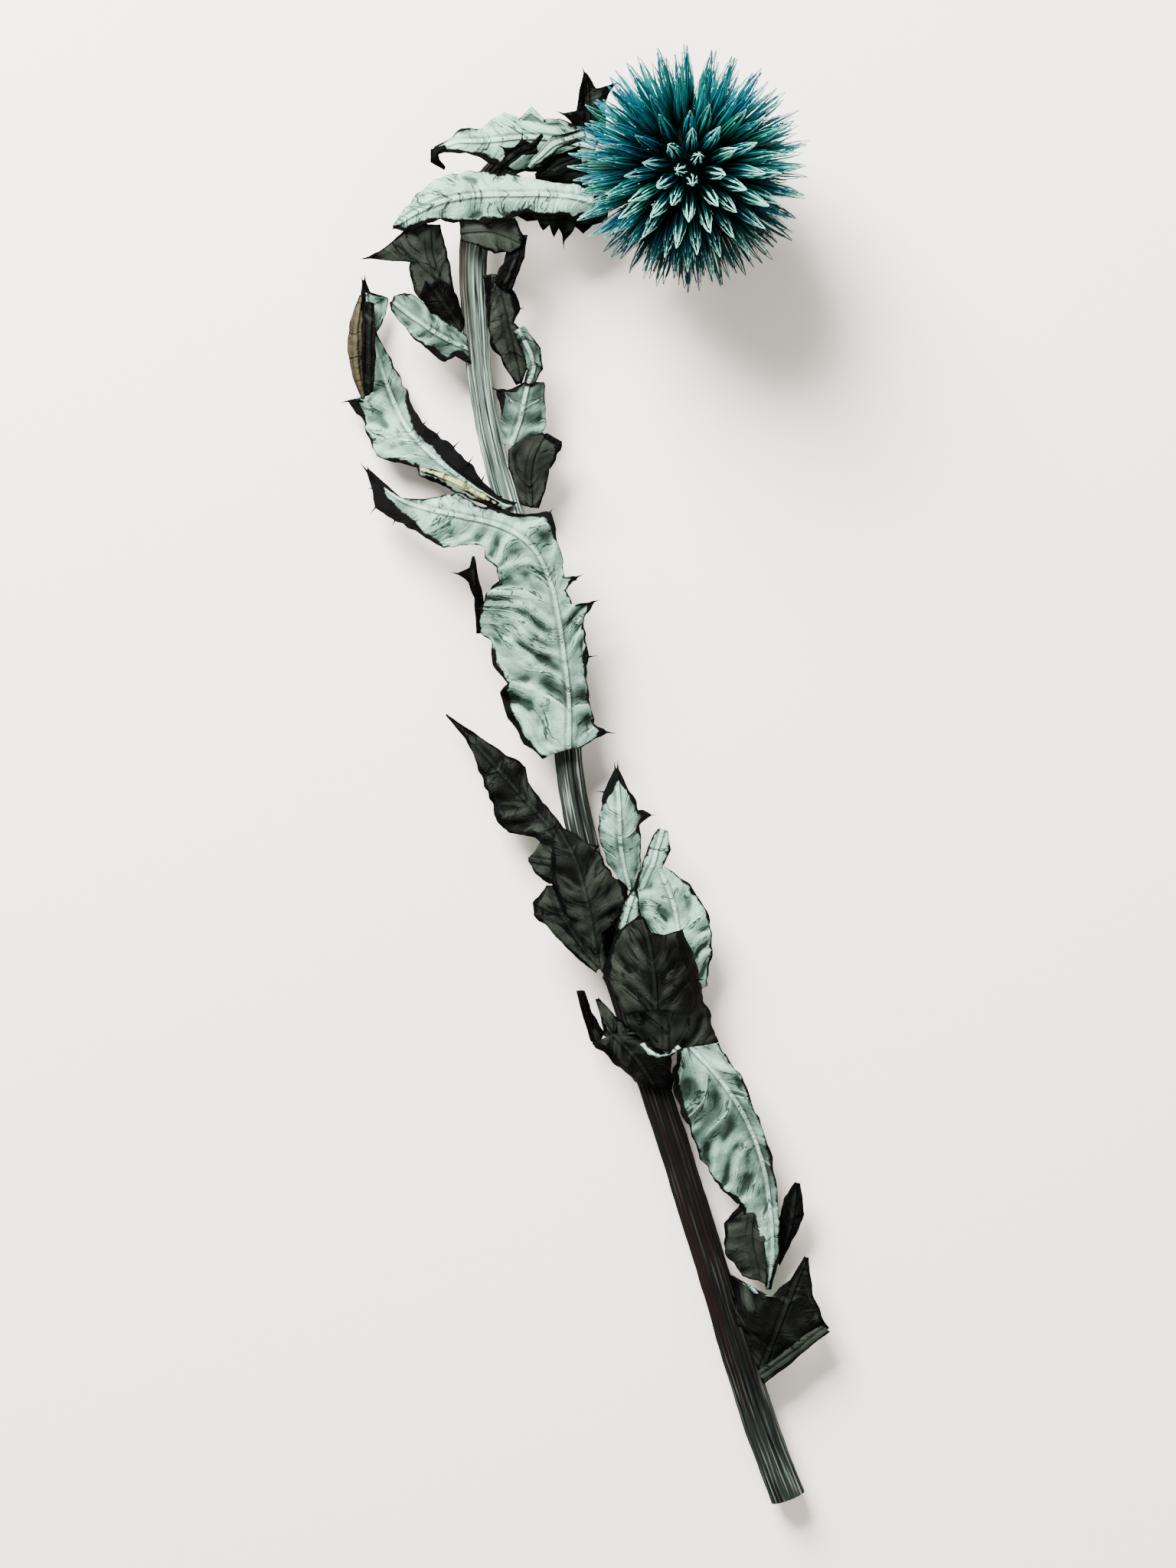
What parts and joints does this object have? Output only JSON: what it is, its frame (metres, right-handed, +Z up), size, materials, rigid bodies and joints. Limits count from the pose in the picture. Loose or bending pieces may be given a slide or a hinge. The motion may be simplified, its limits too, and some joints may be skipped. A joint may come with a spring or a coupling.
{
  "type": "dried globe thistle flower head",
  "caption": "Dyed, dried globe thistle: a ball of spiky florets on a bent neck, with a cut length of leafy stem, lying on its back on a surface.",
  "frame": {"origin": "middle of the underside of the bounding box, on the surface the flower lies on", "axes": "+Y along the stem towards the flower head, +Z up from the surface the flower lies on, +X to the side the neck turns the head to"},
  "size_m": [0.0698, 0.2084, 0.035],
  "materials": {
    "stem": "dry ribbed skin with a thin grey felt",
    "floret": "dyed papery bracts, satin, with pale tips",
    "leaf_underside": "matt white felt over a net of veins",
    "leaf_upper": "dry, slightly glossy, wrinkled"
  },
  "bodies": {
    "root": {"flower_stem": "stem", "floret_crown": "floret", "floret_spiral_01": "floret", "floret_spiral_02": "floret", "floret_spiral_03": "floret", "floret_spiral_04": "floret", "floret_spiral_05": "floret", "floret_spiral_06": "floret", "floret_spiral_07": "floret", "floret_spiral_08": "floret", "floret_spiral_09": "floret", "floret_spiral_10": "floret", "floret_spiral_11": "floret", "floret_spiral_12": "floret", "floret_spiral_13": "floret", "neck_leaf": "leaf_underside", "neck_crest_leaf": "leaf_underside", "left_cup_leaf": "leaf_underside", "left_curved_leaf": "leaf_underside", "clasping_leaf": "leaf_underside", "pale_right_leaf": "leaf_underside", "long_pale_leaf": "leaf_underside", "neck_bract": "leaf_upper", "back_leaf": "leaf_upper", "right_hanging_leaf": "leaf_upper", "right_folded_leaf": "leaf_upper", "dark_left_leaf": "leaf_upper", "dark_clasping_leaf": "leaf_upper", "left_bract": "leaf_upper", "dark_low_leaf": "leaf_upper"}
  },
  "joints": []
}
